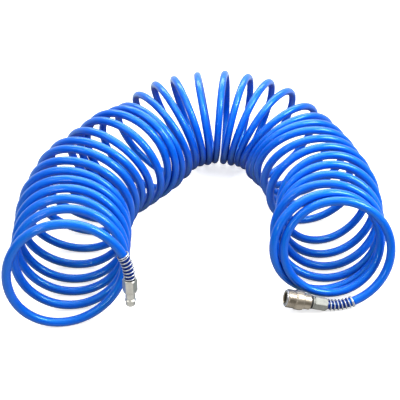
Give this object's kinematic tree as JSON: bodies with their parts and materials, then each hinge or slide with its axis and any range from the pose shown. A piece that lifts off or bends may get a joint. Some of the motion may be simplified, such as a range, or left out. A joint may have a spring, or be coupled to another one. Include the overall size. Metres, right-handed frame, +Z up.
{
  "type": "coiled air hose",
  "caption": "Coiled polyurethane compressed-air hose lying bent in a U, with a quick coupler on one end and a plug on the other, each behind a spring bend guard.",
  "frame": {"origin": "middle of the footprint's bounding box, on the floor that the hose lies on", "axes": "+Z up; the bend of the U at +Y and its open ends at -Y; +X towards the leg that ends in the coupler, -X towards the leg that ends in the plug"},
  "size_m": [0.4338, 0.4388, 0.1408],
  "materials": {
    "hose": "gloss",
    "nickel": "satin",
    "sleeve": "satin",
    "spring_steel": "satin",
    "ball_steel": "polished",
    "brass": "satin",
    "seal_rubber": "matt"
  },
  "bodies": {
    "plug_side": {"hose_coil_left_front": "hose", "hose_coil_left_back": "hose", "hose_coil_apex": "hose", "hose_plug_end": "hose", "hose_cuff_plug": "hose", "plug_nipple": "nickel", "plug_clamp_nut": "nickel", "plug_guard_spring": "spring_steel"},
    "coupler_side": {"hose_coil_right_back": "hose", "hose_coil_right_front": "hose", "hose_coupler_end": "hose", "hose_cuff_coupler": "hose", "coupler_body": "nickel", "sleeve_spring": "spring_steel", "sleeve_snap_ring": "spring_steel", "valve_spring": "spring_steel", "plug_seal": "seal_rubber", "buffer_ring": "seal_rubber", "coupler_tail": "nickel", "tail_gasket": "seal_rubber", "coupler_clamp_nut": "nickel", "coupler_guard_spring": "spring_steel"},
    "sleeve": {"coupler_sleeve": "sleeve"},
    "ball_low": {"locking_ball_low": "ball_steel"},
    "ball_high": {"locking_ball_high": "ball_steel"},
    "ball_back": {"locking_ball_back": "ball_steel"},
    "ball_front": {"locking_ball_front": "ball_steel"},
    "valve": {"valve_poppet": "brass", "valve_seal": "seal_rubber"}
  },
  "joints": [
    {"name": "coil_stretch", "type": "slide", "parent": "plug_side", "child": "coupler_side", "axis": [1, 0, 0], "range_m": [0, 0.2], "stiffness_N_per_m": 5, "deforming": ["hose_coil_apex"]},
    {"name": "sleeve_slide", "type": "slide", "parent": "coupler_side", "child": "sleeve", "axis": [0.9697, 0.0339, -0.2419], "range_m": [0, 0.0035], "stiffness_N_per_m": 2500, "springref_m": -0.002, "deforming": ["sleeve_spring"]},
    {"name": "ball_low_slide", "type": "slide", "parent": "coupler_side", "child": "ball_low", "axis": [-0.2418, -0.0084, -0.9703], "range_m": [0, 0.001]},
    {"name": "ball_high_slide", "type": "slide", "parent": "coupler_side", "child": "ball_high", "axis": [0.2418, 0.0084, 0.9703], "range_m": [0, 0.001]},
    {"name": "ball_back_slide", "type": "slide", "parent": "coupler_side", "child": "ball_back", "axis": [-0.0349, 0.9994, 0], "range_m": [0, 0.001]},
    {"name": "ball_front_slide", "type": "slide", "parent": "coupler_side", "child": "ball_front", "axis": [0.0349, -0.9994, 0], "range_m": [0, 0.001]},
    {"name": "valve_slide", "type": "slide", "parent": "coupler_side", "child": "valve", "axis": [0.9697, 0.0339, -0.2419], "range_m": [0, 0.0036], "stiffness_N_per_m": 1200, "springref_m": -0.002, "deforming": ["valve_spring"]}
  ],
  "couplings": [
    {"joint": "ball_low_slide", "follows": "sleeve_slide", "ratio": 0.2857},
    {"joint": "ball_high_slide", "follows": "sleeve_slide", "ratio": 0.2857},
    {"joint": "ball_back_slide", "follows": "sleeve_slide", "ratio": 0.2857},
    {"joint": "ball_front_slide", "follows": "sleeve_slide", "ratio": 0.2857}
  ]
}
